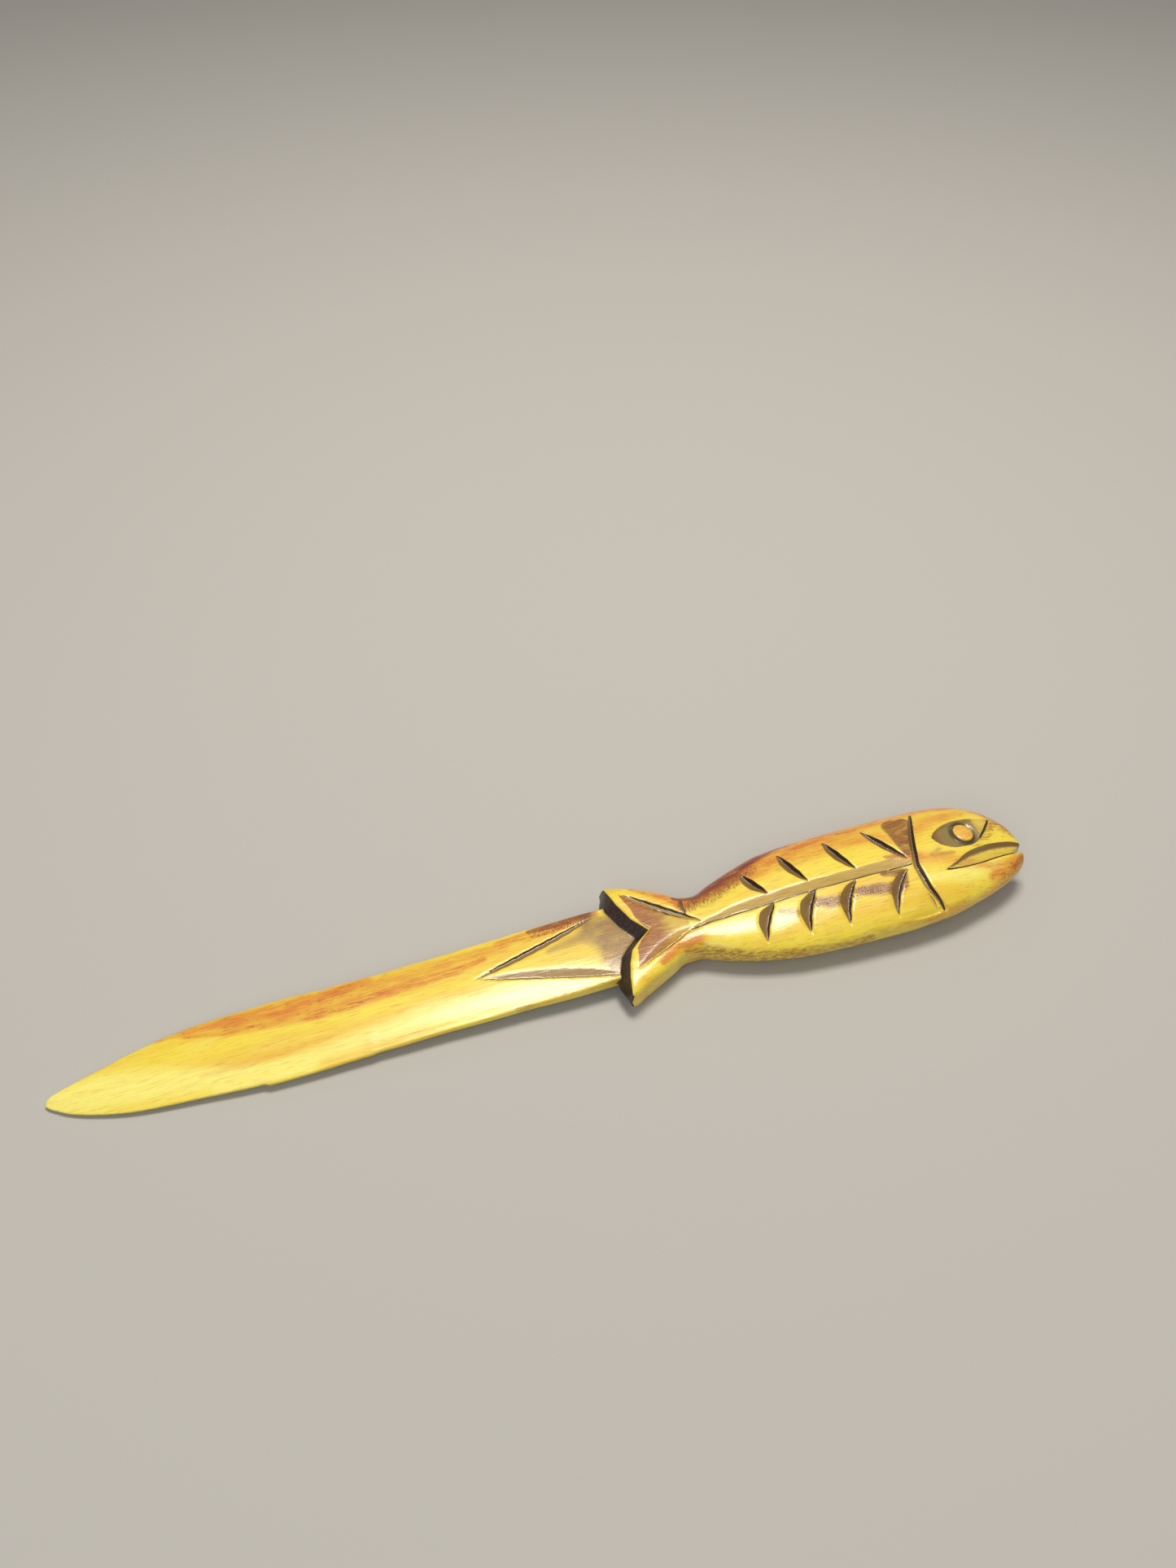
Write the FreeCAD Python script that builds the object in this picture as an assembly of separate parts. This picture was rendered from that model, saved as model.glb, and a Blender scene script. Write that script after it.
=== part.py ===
"""A letter opener carved from one piece of wood: a paper-knife blade whose handle is a fish.

It is carved along its own axis: x from the blade's tip to the fish's snout, y towards the fish's
back, z through the thickness, with z = 0 on the middle plane. It is then laid down as it rests on
a table, on the blade's tip and a small flat on the fish's belly, with the origin under the middle
of its box.
"""
import FreeCAD
import Part
import math
import os

# Driving dimensions, in millimetres, along the carving axis.
LENGTH = 235.0
BLADE_ROOT_X = 141.0          # where the blade's body ends, inside the fish's tail
FACE_HEIGHT = 4.2             # the tail's carved face above the middle plane
CUTTER_TOP = 12.0             # well above every face
SECTION_POINTS = 24
RESTING_FLAT = 0.3            # how deep the belly is pared flat where it lies on the table

# The blade at each station: x, upper edge, lower edge, half thickness at mid width and at the edge.
BLADE = [
    (0.15, 1.4, 0.2, 0.50, 0.35),
    (1.0, 2.2, -0.7, 0.60, 0.40),
    (2.5, 3.0, -1.9, 0.75, 0.40),
    (5.0, 3.9, -3.4, 0.90, 0.40),
    (10.0, 5.4, -5.3, 1.05, 0.40),
    (20.0, 8.1, -7.6, 1.25, 0.40),
    (32.0, 10.3, -8.6, 1.45, 0.40),
    (50.0, 11.1, -9.7, 1.60, 0.40),
    (75.0, 10.9, -9.3, 1.75, 0.45),
    (100.0, 11.5, -9.1, 1.90, 0.70),
    (116.0, 11.8, -9.1, 2.00, 1.15),
    (127.0, 11.7, -8.9, 2.05, 1.50),
    (BLADE_ROOT_X, 10.8, -8.0, 2.10, 1.60),
]

# The fish at each station: x, back edge, belly edge, half thickness, and how square its section
# is: 2 is an ellipse, more is squarer.
FISH = [
    (124.0, 17.0, -15.2, 3.9, 5.0),
    (129.5, 16.8, -14.8, 4.1, 5.0),
    (133.0, 16.2, -13.0, 4.2, 5.0),
    (137.0, 14.9, -11.2, 4.3, 4.5),
    (141.0, 13.1, -9.3, 4.35, 4.0),
    (144.5, 10.9, -7.7, 4.4, 3.4),
    (148.0, 8.5, -7.8, 4.4, 3.0),
    (151.0, 8.1, -9.0, 4.5, 2.8),
    (156.0, 10.2, -11.3, 4.7, 2.5),
    (163.0, 12.9, -13.6, 5.1, 2.3),
    (171.0, 15.2, -15.2, 5.5, 2.25),
    (182.0, 16.2, -16.1, 5.9, 2.25),
    (198.0, 16.4, -16.5, 6.0, 2.25),
    (209.0, 16.3, -15.8, 5.9, 2.25),
    (218.0, 15.8, -14.0, 5.5, 2.25),
    (225.0, 14.0, -12.1, 4.9, 2.25),
    (229.5, 11.5, -10.2, 4.2, 2.25),
    (232.5, 8.1, -8.4, 3.4, 2.25),
    (234.3, 4.9, -6.4, 2.6, 2.25),
    (LENGTH, 2.2, -4.2, 1.8, 2.25),
]

# The end of the tail, from the upper lobe's corner through the notch to the lower lobe's corner:
# where it meets the carved face, and where the sloping end walls of both faces meet.
TAIL_END_FACE = [
    (132.2, 20.0), (132.0, 14.7), (133.0, 10.0), (134.8, 4.8), (137.8, 0.3), (134.8, -1.9),
    (132.4, -3.8), (130.8, -7.2), (129.7, -10.8), (129.1, -14.2), (129.0, -20.0),
]
TAIL_END_MIDDLE = [
    (130.7, 20.0), (130.2, 15.0), (128.0, 9.8), (129.0, 5.4), (131.1, 1.0), (129.7, -1.0),
    (127.9, -2.7), (126.8, -6.6), (126.8, -10.4), (127.8, -13.9), (128.6, -20.0),
]

# The backbone: a knife line with a wide facet on its upper side.
SPINE_ENDS = ((147.0, -3.5), (205.0, -1.8))
SPINE = [  # upper side, keel, lower side, depth
    ((158.0, -0.4), (158.0, -3.0), (158.0, -3.3), 0.8),
    ((178.0, 0.9), (178.0, -2.4), (178.0, -2.7), 1.1),
    ((198.0, 0.5), (198.0, -2.5), (198.0, -2.8), 1.0),
]
RIB_WIDTH = 2.3
RIB_DEPTH = 1.3
# The ribs, each from its outer end to its end by the backbone.
UPPER_RIBS = [
    ((163.8, 8.2), (167.8, 1.2)),
    ((174.5, 11.0), (178.4, 1.3)),
    ((186.8, 10.8), (190.8, 1.1)),
    ((197.0, 11.1), (204.2, -0.2)),
]
LOWER_RIBS = [
    ((162.4, -11.8), (167.8, -3.5)),
    ((172.9, -13.0), (178.6, -3.3)),
    ((182.8, -13.5), (189.3, -3.2)),
    ((194.4, -14.8), (203.2, -3.4)),
]
GILL_WIDTH = 0.9
GILL_DEPTH = 0.9
GILL = [(211.8, 11.8), (208.4, 4.4), (206.0, -2.6), (205.0, -9.0), (205.6, -15.2)]

# The eye: an almond-shaped recess with a round boss left standing in it.
EYE_CORNERS = ((212.8, 3.2), (229.4, 4.3))
EYE = [  # upper side, keel, lower side, depth
    ((216.6, 6.3), (216.6, 2.9), (216.6, -1.0), 1.3),
    ((221.5, 7.2), (221.5, 2.9), (221.5, -1.5), 1.6),
    ((226.2, 6.3), (226.2, 3.4), (226.2, 0.6), 1.3),
]
PUPIL_CENTRE = (221.6, 2.9)
PUPIL_RADIUS = 2.4
PUPIL_BELOW_FACE = 0.3

# The mouth: a slit with a scooped upper lip, open right through at the snout.
MOUTH_CORNER = (210.8, -7.3)
MOUTH = [
    ((217.5, -4.0), (217.5, -7.0), (217.5, -7.3), 1.0),
    ((225.0, -2.7), (225.0, -6.4), (225.0, -6.7), 1.5),
    ((232.0, -3.0), (232.0, -5.4), (232.0, -5.7), 1.6),
]
MOUTH_END = (240.0, -3.6)
MOUTH_NOTCH = [(238.0, -2.6), (232.4, -5.0), (238.0, -5.4)]

# The blade's V: two shallow cuts that meet at a point, and the pair on the tail.
BLADE_V = [(((96.4, 1.2), (125.5, 9.1)), 1.5), (((97.6, 0.7), (126.5, -7.2)), 2.0)]
BLADE_V_DEPTH = 0.55
BLADE_V_DEEPEST = 0.75        # how far along each cut its deepest place is
TAIL_CUTS = [((134.2, 12.3), (150.0, -1.6)), ((132.5, -9.3), (147.6, -3.2))]
TAIL_CUT_WIDTH = 1.6
TAIL_CUT_DEPTH = 0.8


def at(table, x, column):
    """One column of a station table, in straight steps between the stations."""
    for low, high in zip(table, table[1:]):
        if x <= high[0]:
            share = max(0.0, (x - low[0]) / (high[0] - low[0]))
            return low[column] + share * (high[column] - low[column])
    return table[-1][column]


def fish_height(x, y):
    """The height of the fish's face above the middle plane."""
    back = at(FISH, x, 1)
    belly = at(FISH, x, 2)
    power = at(FISH, x, 4)
    across = min(0.98, abs(2 * y - back - belly) / (back - belly))
    return at(FISH, x, 3) * (1 - across ** power) ** (1 / power)


def blade_height(x, y):
    """The height of the blade's face above the middle plane."""
    upper = at(BLADE, x, 1)
    lower = at(BLADE, x, 2)
    across = min(1.0, abs(2 * y - upper - lower) / (upper - lower))
    crown = at(BLADE, x, 3)
    return crown - (crown - at(BLADE, x, 4)) * across ** 2


def vector(x, y, z):
    return FreeCAD.Vector(x, y, z)


def fish_section(x, back, belly, half, power):
    """One rounded cross-section of the fish, as a closed smooth curve."""
    middle = (back + belly) / 2
    reach = (back - belly) / 2
    points = []
    for step in range(SECTION_POINTS):
        turn = 2 * math.pi * step / SECTION_POINTS
        along, up = math.cos(turn), math.sin(turn)
        y = middle + reach * math.copysign(abs(along) ** (2 / power), along)
        z = half * math.copysign(abs(up) ** (2 / power), up)
        points.append(vector(x, y, z))
    curve = Part.BSplineCurve()
    curve.interpolate(Points=points, PeriodicFlag=True)
    return Part.Wire(curve.toShape())


def blade_section(x, upper, lower, crown, edge):
    """One lens-shaped cross-section of the blade, with narrow flats along its two edges."""
    middle = (upper + lower) / 2
    corners = [vector(x, lower, edge), vector(x, upper, edge),
               vector(x, upper, -edge), vector(x, lower, -edge)]
    top = Part.Arc(corners[0], vector(x, middle, crown), corners[1]).toShape()
    right = Part.makeLine(corners[1], corners[2])
    bottom = Part.Arc(corners[2], vector(x, middle, -crown), corners[3]).toShape()
    left = Part.makeLine(corners[3], corners[0])
    return Part.Wire([top, right, bottom, left])


def face(points):
    """A flat face with these corners."""
    return Part.Face(Part.makePolygon(points + points[:1]))


def chip(start, end, ribs, height):
    """The waste of one knife cut: a boat-shaped solid whose keel runs from start to end.

    Each of ribs is (one side, keel, other side, depth), with places in plan, and height gives the
    height of the face that is cut.
    """
    def on_face(place):
        return vector(place[0], place[1], height(*place))

    def above(point):
        return vector(point.x, point.y, CUTTER_TOP)

    first, last = on_face(start), on_face(end)
    left = [on_face(rib[0]) for rib in ribs]
    right = [on_face(rib[2]) for rib in ribs]
    keel = [on_face(rib[1]) - vector(0, 0, rib[3]) for rib in ribs]
    faces = [face([first, left[0], keel[0]]), face([first, keel[0], right[0]])]
    faces += [face([last, keel[-1], left[-1]]), face([last, right[-1], keel[-1]])]
    for i in range(len(ribs) - 1):
        for side in (left, right):
            faces.append(face([side[i], side[i + 1], keel[i]]))
            faces.append(face([side[i + 1], keel[i + 1], keel[i]]))
    rim = [first] + left + [last] + right[::-1]
    for here, there in zip(rim, rim[1:] + rim[:1]):
        faces.append(face([here, there, above(there), above(here)]))
    faces.append(face([above(point) for point in rim]))
    shell = Part.Shell(faces)
    solid = Part.Solid(shell)
    if solid.Volume < 0:
        solid.reverse()
    return solid


def across(start, end, width):
    """The plan vector that is width long, at right angles to the line from start to end."""
    run = math.hypot(end[0] - start[0], end[1] - start[1])
    return (-(end[1] - start[1]) / run * width, (end[0] - start[0]) / run * width)


def straight_cut(start, end, left_width, right_width, depth, height, deepest=0.5):
    """A knife cut with its deepest place part way along."""
    side = across(start, end, 1.0)
    keel = (start[0] + deepest * (end[0] - start[0]), start[1] + deepest * (end[1] - start[1]))
    left = (keel[0] + side[0] * left_width, keel[1] + side[1] * left_width)
    right = (keel[0] - side[0] * right_width, keel[1] - side[1] * right_width)
    return chip(start, end, [(left, keel, right, depth)], height)


def line_cut(points, width, depth, height):
    """A narrow knife line through several points."""
    ribs = []
    for before, here, after in zip(points, points[1:], points[2:]):
        side = across(before, after, width / 2)
        ribs.append(((here[0] + side[0], here[1] + side[1]), here,
                     (here[0] - side[0], here[1] - side[1]), depth))
    return chip(points[0], points[-1], ribs, height)


def both_faces(cuts):
    """Cuts made on the upper face, and the same cuts on the face below."""
    middle = vector(0, 0, 0)
    return cuts + [cut.mirror(middle, vector(0, 0, 1)) for cut in cuts]


def tail_end():
    """The waste beyond the end of the tail, above the middle plane."""
    def outline(places, z):
        points = [vector(x, y, z) for x, y in places]
        points += [vector(110.0, places[-1][1], z), vector(110.0, places[0][1], z)]
        return Part.makePolygon(points + points[:1])

    slope = CUTTER_TOP / FACE_HEIGHT
    high = [(m[0] + slope * (f[0] - m[0]), m[1] + slope * (f[1] - m[1]))
            for f, m in zip(TAIL_END_FACE, TAIL_END_MIDDLE)]
    return Part.makeLoft([outline(TAIL_END_MIDDLE, 0.0), outline(high, CUTTER_TOP)], True, True)


def fish_body():
    """The fish without its carving, with its forked tail."""
    body = Part.makeLoft([fish_section(*station) for station in FISH], True, False)
    notch = [vector(x, y, -CUTTER_TOP) for x, y in MOUTH_NOTCH]
    mouth_gap = face(notch).extrude(vector(0, 0, 2 * CUTTER_TOP))
    return body.cut(both_faces([tail_end()]) + [mouth_gap])


def blade_body():
    """The blade without its carving."""
    return Part.makeLoft([blade_section(*station) for station in BLADE], True, False)


def eye_recess():
    """The waste round the pupil."""
    recess = chip(EYE_CORNERS[0], EYE_CORNERS[1], EYE, fish_height)
    face_here = fish_height(*PUPIL_CENTRE)
    foot = vector(PUPIL_CENTRE[0], PUPIL_CENTRE[1], 0)
    pupil = Part.makeCylinder(PUPIL_RADIUS, face_here - PUPIL_BELOW_FACE, foot)
    return recess.cut(pupil)


def fish_cuts():
    """Every cut in the fish's upper face."""
    cuts = [chip(SPINE_ENDS[0], SPINE_ENDS[1], SPINE, fish_height)]
    for outer, inner in UPPER_RIBS:
        cuts.append(straight_cut(outer, inner, 0.25, RIB_WIDTH - 0.25, RIB_DEPTH, fish_height))
    for outer, inner in LOWER_RIBS:
        cuts.append(straight_cut(outer, inner, RIB_WIDTH - 0.25, 0.25, RIB_DEPTH, fish_height))
    for outer, inner in TAIL_CUTS:
        half = TAIL_CUT_WIDTH / 2
        cuts.append(straight_cut(outer, inner, half, half, TAIL_CUT_DEPTH, fish_height))
    cuts.append(line_cut(GILL, GILL_WIDTH, GILL_DEPTH, fish_height))
    cuts.append(eye_recess())
    cuts.append(chip(MOUTH_CORNER, MOUTH_END, MOUTH, fish_height))
    return cuts


def blade_cuts():
    """The V in the blade's upper face, broadest near the tail."""
    cuts = []
    for (start, end), width in BLADE_V:
        cuts.append(straight_cut(start, end, width / 2, width / 2, BLADE_V_DEPTH,
                                 blade_height, BLADE_V_DEEPEST))
    return cuts


def resting_tilt():
    """The tilt, in degrees, of the plane that touches the blade and pares the belly flat."""
    slopes = []
    for blade in BLADE[:-1]:
        slopes.append(max((fish[3] - RESTING_FLAT - blade[3]) / (fish[0] - blade[0])
                          for fish in FISH))
    return math.degrees(math.atan(min(slopes)))


def tilted(shape):
    """The shape turned to its tilt on the table."""
    return shape.rotated(vector(0, 0, 0), vector(0, 1, 0), -resting_tilt())


def laid_down(carving, blade):
    """The carving lying on a table, with its belly pared flat and the origin under its middle."""
    lying = tilted(carving)
    table = tilted(blade).optimalBoundingBox(False, False).ZMin
    waste = Part.makeBox(LENGTH, LENGTH, CUTTER_TOP,
                         vector(BLADE_ROOT_X, -LENGTH / 2, table - CUTTER_TOP))
    lying = lying.cut(waste)
    box = lying.optimalBoundingBox(False, False)
    return lying.translated(vector(-box.Center.x, -box.Center.y, -table))


fish = fish_body().cut(both_faces(fish_cuts()))
blade = blade_body().cut(both_faces(blade_cuts()))
letter_opener = laid_down(fish.fuse(blade), blade)

os.makedirs("parts", exist_ok=True)
letter_opener.exportStep("parts/letter_opener.step")
size = letter_opener.optimalBoundingBox(False, False)
print("solids", len(letter_opener.Solids), "valid", letter_opener.isValid())
print("volume", round(letter_opener.Volume), "tilt", round(resting_tilt(), 2))
print("box", round(size.XLength, 2), round(size.YLength, 2), round(size.ZLength, 2))
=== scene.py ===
import math

import bpy
import numpy as np
import openvdb
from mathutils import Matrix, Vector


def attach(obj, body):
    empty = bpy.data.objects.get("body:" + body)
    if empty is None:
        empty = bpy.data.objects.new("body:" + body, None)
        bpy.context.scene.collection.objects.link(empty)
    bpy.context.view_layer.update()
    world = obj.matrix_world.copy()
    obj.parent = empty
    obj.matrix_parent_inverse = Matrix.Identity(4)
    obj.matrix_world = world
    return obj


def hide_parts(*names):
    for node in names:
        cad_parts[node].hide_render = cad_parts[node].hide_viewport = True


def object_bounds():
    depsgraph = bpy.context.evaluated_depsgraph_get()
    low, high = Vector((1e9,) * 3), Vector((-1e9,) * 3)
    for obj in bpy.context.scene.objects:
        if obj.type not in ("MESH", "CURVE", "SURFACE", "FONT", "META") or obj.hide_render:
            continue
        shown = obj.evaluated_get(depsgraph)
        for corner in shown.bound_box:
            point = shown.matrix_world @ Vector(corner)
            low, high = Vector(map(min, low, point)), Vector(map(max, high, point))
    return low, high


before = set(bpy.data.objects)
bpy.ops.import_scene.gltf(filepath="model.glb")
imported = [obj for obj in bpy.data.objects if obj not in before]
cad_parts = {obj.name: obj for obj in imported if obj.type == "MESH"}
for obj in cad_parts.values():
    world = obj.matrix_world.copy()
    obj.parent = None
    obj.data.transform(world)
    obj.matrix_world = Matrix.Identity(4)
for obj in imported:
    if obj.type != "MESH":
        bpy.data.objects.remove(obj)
cad_low, cad_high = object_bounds()


# ---------------------------------------------------------------------------------------------
# The blank of the letter opener: one strip of close-grained yellow hardwood, whittled to a
# lens-shaped blade that runs into a rounded, fork-tailed fish. Sizes are in millimetres along
# the carving: x from the blade's tip to the snout, y to the fish's back, z through the wood.
# ---------------------------------------------------------------------------------------------

SNOUT_END = 235.3

# x, upper edge, lower edge, half thickness at mid width and at the edge
BLADE = np.array([
    (0.0, 0.5, 0.3, 0.30, 0.20), (0.5, 1.9, -0.5, 0.55, 0.35), (2.5, 3.0, -1.9, 0.75, 0.40),
    (5.0, 3.9, -3.4, 0.90, 0.40), (10.0, 5.4, -5.3, 1.05, 0.40), (20.0, 8.1, -7.6, 1.25, 0.42),
    (32.0, 10.3, -8.6, 1.45, 0.45), (50.0, 11.1, -9.7, 1.60, 0.50), (75.0, 10.9, -9.3, 1.75, 0.60),
    (100.0, 11.5, -9.1, 1.90, 0.85), (116.0, 11.8, -9.1, 2.00, 1.20), (127.0, 11.7, -8.9, 2.05, 1.50),
    (141.0, 10.8, -8.0, 2.10, 1.60)])
BLADE_END = 139.0

# x, back edge, belly edge, half thickness, and how square the section is (2 is an ellipse)
FISH = np.array([
    (124.0, 17.0, -15.2, 3.9, 5.0), (129.5, 16.8, -14.8, 4.1, 5.0), (133.0, 16.2, -13.0, 4.2, 5.0),
    (137.0, 14.9, -11.2, 4.3, 4.5), (141.0, 13.1, -9.3, 4.35, 4.0), (144.5, 10.9, -7.7, 4.4, 3.4),
    (148.0, 8.5, -7.8, 4.4, 3.0), (151.0, 8.1, -9.0, 4.5, 2.8), (156.0, 10.2, -11.3, 4.7, 2.5),
    (163.0, 12.9, -13.6, 5.1, 2.3), (171.0, 15.2, -15.2, 5.5, 2.25), (182.0, 16.2, -16.1, 5.9, 2.25),
    (198.0, 16.4, -16.5, 6.0, 2.25), (209.0, 16.3, -15.8, 5.9, 2.25), (218.0, 15.8, -14.0, 5.5, 2.25),
    (225.0, 14.0, -12.1, 4.9, 2.25), (229.5, 11.3, -10.2, 4.2, 2.25), (232.5, 7.8, -8.4, 3.4, 2.25),
    (234.3, 4.5, -6.4, 2.6, 2.25), (235.0, 2.0, -4.4, 1.7, 2.1), (SNOUT_END, -0.9, -1.3, 0.4, 2.0)])

# The forked end of the tail, from the upper lobe's corner through the notch to the lower one's:
# y, its x on the carved face, and its x on the middle plane, where both faces' end walls meet
TAIL_FACE_HEIGHT = 4.2
TAIL_END = np.array([
    (-20.0, 129.0, 129.4), (-14.2, 129.1, 127.7), (-10.8, 129.7, 126.8), (-7.2, 130.8, 126.9),
    (-3.8, 132.4, 127.7), (-1.9, 134.7, 129.0), (0.35, 137.8, 131.2), (1.0, 137.3, 131.1),
    (4.8, 134.8, 129.2), (10.0, 133.0, 128.0), (14.7, 132.0, 130.1), (20.0, 131.9, 131.4)])


def through(knots, values, place):
    """A smooth curve through the knots that never swings past them."""
    step = np.diff(knots)
    rise = np.diff(values) / step
    both = rise[1:] * rise[:-1]
    total = np.where(both > 0, rise[1:] + rise[:-1], 1.0)
    slope = np.concatenate([rise[:1], np.where(both > 0, 2 * both / total, 0.0), rise[-1:]])
    i = np.clip(np.searchsorted(knots, place) - 1, 0, len(step) - 1)
    t = np.clip((place - knots[i]) / step[i], 0.0, 1.0)
    start = values[i] * (1 + 2 * t) * (1 - t) ** 2 + slope[i] * step[i] * t * (1 - t) ** 2
    return start + values[i + 1] * t * t * (3 - 2 * t) - slope[i + 1] * step[i] * t * t * (1 - t)


def ramp(low, high, value):
    """0 below low, 1 above high, and smooth between."""
    t = np.clip((value - low) / (high - low), 0.0, 1.0)
    return t * t * (3 - 2 * t)


def hand_waver(x, y, length, seed):
    """The slow waver of a hand-held knife, from -1 to 1, with waves about this long."""
    luck = np.random.default_rng(seed)
    total = np.zeros_like(x + y)
    for _ in range(5):
        wave = 2 * math.pi / (length * luck.uniform(0.7, 1.6))
        heading = luck.uniform(-0.9, 0.9)
        phase = luck.uniform(0, 2 * math.pi)
        total = total + np.sin(wave * (x * math.cos(heading) + y * math.sin(heading)) + phase)
    return total / 5


def blade_outline(x):
    """The blade's two edges, with the steps and dips that the knife left in them."""
    along = np.sqrt(np.clip(x, 0, None))
    knots = np.sqrt(BLADE[:, 0])
    upper = through(knots, BLADE[:, 1], along) + 0.10 * hand_waver(x, 0.0, 17.0, 3) * ramp(4, 12, x)
    lower = through(knots, BLADE[:, 2], along) + 0.12 * hand_waver(x, 0.0, 13.0, 5) * ramp(4, 12, x)
    upper = upper - 0.35 * np.exp(-((x - 61.8) / 1.3) ** 2) + 0.25 * ramp(14.6, 15.6, x) - 0.25
    lower = lower + 0.35 - 0.50 * ramp(46.0, 47.0, x) + 0.25 * ramp(69.5, 71.5, x)
    return upper, lower


def blade_height(x, y):
    """The blade's face above the middle plane: a low crown with a few flats pared along it."""
    upper, lower = blade_outline(x)
    along = np.sqrt(np.clip(x, 0, None))
    knots = np.sqrt(BLADE[:, 0])
    crown = through(knots, BLADE[:, 3], along)
    edge = through(knots, BLADE[:, 4], along)
    across = np.clip(np.abs(2 * y - upper - lower) / (upper - lower), 0, 1)
    return crown - (crown - edge) * across ** 2.2 + 0.035 * hand_waver(x, 3 * y, 19.0, 7)


def fish_columns(x):
    """The fish's back edge, belly edge, half thickness and squareness at x."""
    along = np.sqrt(SNOUT_END - np.minimum(x, SNOUT_END))
    knots = np.sqrt(SNOUT_END - FISH[::-1, 0])
    return [through(knots, FISH[::-1, column], along) for column in (1, 2, 3, 4)]


def fish_height(x, y):
    """The fish's uncut face above the middle plane."""
    back, belly, half, power = fish_columns(x)
    across = np.minimum(0.985, np.abs(2 * y - back - belly) / (back - belly))
    return half * (1 - across ** power) ** (1 / power)


def tail_end_x(y, z):
    """Where the tail's end wall stands, at a height z on either side of the middle plane."""
    rise = np.abs(z) / TAIL_FACE_HEIGHT
    face = np.interp(y, TAIL_END[:, 0], TAIL_END[:, 1])
    middle = np.interp(y, TAIL_END[:, 0], TAIL_END[:, 2])
    tool_marks = 0.03 * np.sin(2.1 * y + 0.8) * np.clip(1 - rise, 0, 1)
    return middle + (face - middle) * rise + tool_marks


def soft_max(a, b, width):
    """The larger of two distances, with the edge between them rounded off over this width."""
    near = np.clip(1 - np.abs(a - b) / width, 0, 1)
    return np.maximum(a, b) + near * near * width / 4


# ---------------------------------------------------------------------------------------------
# The knife work on both faces: backbone, ribs, gill, eye, mouth, the grooves on the tail and the
# V at the blade's root, each a steep stop cut with a long facet pared up to it. A cut's depth is
# in millimetres below the face, and goes negative beside it.
# ---------------------------------------------------------------------------------------------

# each rib: the two ends of its stop cut, width of its long facet, depth, bow towards the tail
RIBS = [
    ((163.7, 8.2), (167.7, -0.3), 2.1, 1.15, 0.1), ((174.6, 10.9), (178.1, -0.3), 1.9, 1.15, 0.1),
    ((186.7, 10.8), (190.6, -0.8), 1.9, 1.10, 0.1), ((197.1, 11.0), (203.9, -1.9), 1.6, 1.05, 0.0),
    ((168.0, -3.3), (162.8, -11.9), 2.3, 1.20, 0.75), ((178.8, -3.1), (173.3, -13.2), 2.4, 1.25, 1.0),
    ((189.2, -3.4), (183.0, -14.0), 2.1, 1.20, 1.1), ((202.7, -4.2), (195.0, -15.1), 1.8, 1.00, 1.2)]
RIB_BROWN = 0.85

# the other straight cuts on the fish, each with its brownness and with what it does unlike a rib
UPPER_GROOVE = ((134.3, 11.8), (150.4, -2.5))
LOWER_GROOVE = ((148.2, -2.8), (131.9, -10.0))
TAIL_AND_SCRAPES = [
    (*UPPER_GROOVE, 1.4, 0.70, 0.40, {"belly": 2.6}),
    ((138.6, 6.3), (146.4, -0.3), 0.4, 0.75, 0.55, {}),
    (*LOWER_GROOVE, 1.5, 0.50, 0.0, {}),
    ((147.6, 8.0), (146.9, -0.6), 0.8, 0.22, 0.95, {"steep": 1.6}),
    ((204.0, -11.2), (205.2, -15.9), 0.9, 0.13, 0.05, {"steep": 0.8})]

# the two arms of the V on the blade's root, in the same order
BLADE_VEE = [
    ((94.6, 0.4), (127.0, 9.2), 1.3, 0.50, 0.80, {"fullest": 0.5, "belly": 2.6}),
    ((128.6, -8.8), (95.8, 0.2), 2.2, 0.50, 0.62, {"fullest": 0.42, "belly": 2.4})]

MARK_LINE = 0.8             # the line that all marks are measured from lies this far up the back
MARK_SHIFT = 0.4            # and the knife's marks start this far towards the snout
STEEP = 2.4                 # how steep the stop-cut wall of a knife cut is: rise over run
KEEL_RADIUS = 0.14          # how much the knife's edge rounds the bottom of a cut

SPINE = np.array([          # x, keel, width of the upper facet, depth
    (145.0, -4.1, 0.4, 0.00), (150.0, -3.3, 0.9, 0.35), (158.5, -2.9, 2.1, 0.75),
    (168.0, -2.8, 2.6, 0.95), (178.3, -2.7, 2.4, 1.00), (190.0, -2.9, 2.5, 0.95),
    (199.3, -3.2, 2.8, 0.85), (203.2, -3.3, 1.6, 0.50), (206.0, -3.2, 0.8, -0.10)])
GILL = np.array([           # y, x of the stop cut, width of the facet on the tail side
    (-16.0, 206.9, 0.5), (-13.3, 206.1, 1.0), (-9.7, 205.2, 1.2), (-4.9, 205.1, 1.0),
    (-0.4, 206.4, 0.9), (5.2, 208.6, 1.1), (12.4, 212.2, 0.8)])
MOUTH = np.array([          # x, keel, top of the scoop, depth
    (210.4, -7.5, -7.4, 0.0), (214.8, -7.6, -5.8, 0.55), (218.6, -7.4, -4.0, 1.0),
    (221.7, -7.1, -3.3, 1.25), (226.0, -6.5, -2.9, 1.45), (231.0, -5.9, -3.1, 1.6),
    (234.0, -5.5, -3.6, 1.6), (238.0, -5.0, -4.0, 1.6)])
EYE = np.array([            # x, lower rim, upper rim, depth of the floor
    (212.4, 2.3, 2.7, 0.0), (214.1, -0.3, 4.2, 0.45), (217.3, -2.0, 5.8, 0.70),
    (220.8, -2.2, 6.4, 0.80), (224.0, -1.1, 6.3, 0.80), (226.5, 0.8, 5.9, 0.75),
    (229.2, 3.4, 5.2, 0.35), (230.2, 4.4, 4.7, 0.0)])
PUPIL = (221.3, 2.2)
PUPIL_RADIUS = 2.45


def past_pupil(x, y):
    """How far a place lies outside the pupil's rim, in millimetres, negative on its boss."""
    return np.hypot((x - PUPIL[0]) / 0.95, (y - PUPIL[1]) / 1.08) - PUPIL_RADIUS


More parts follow.
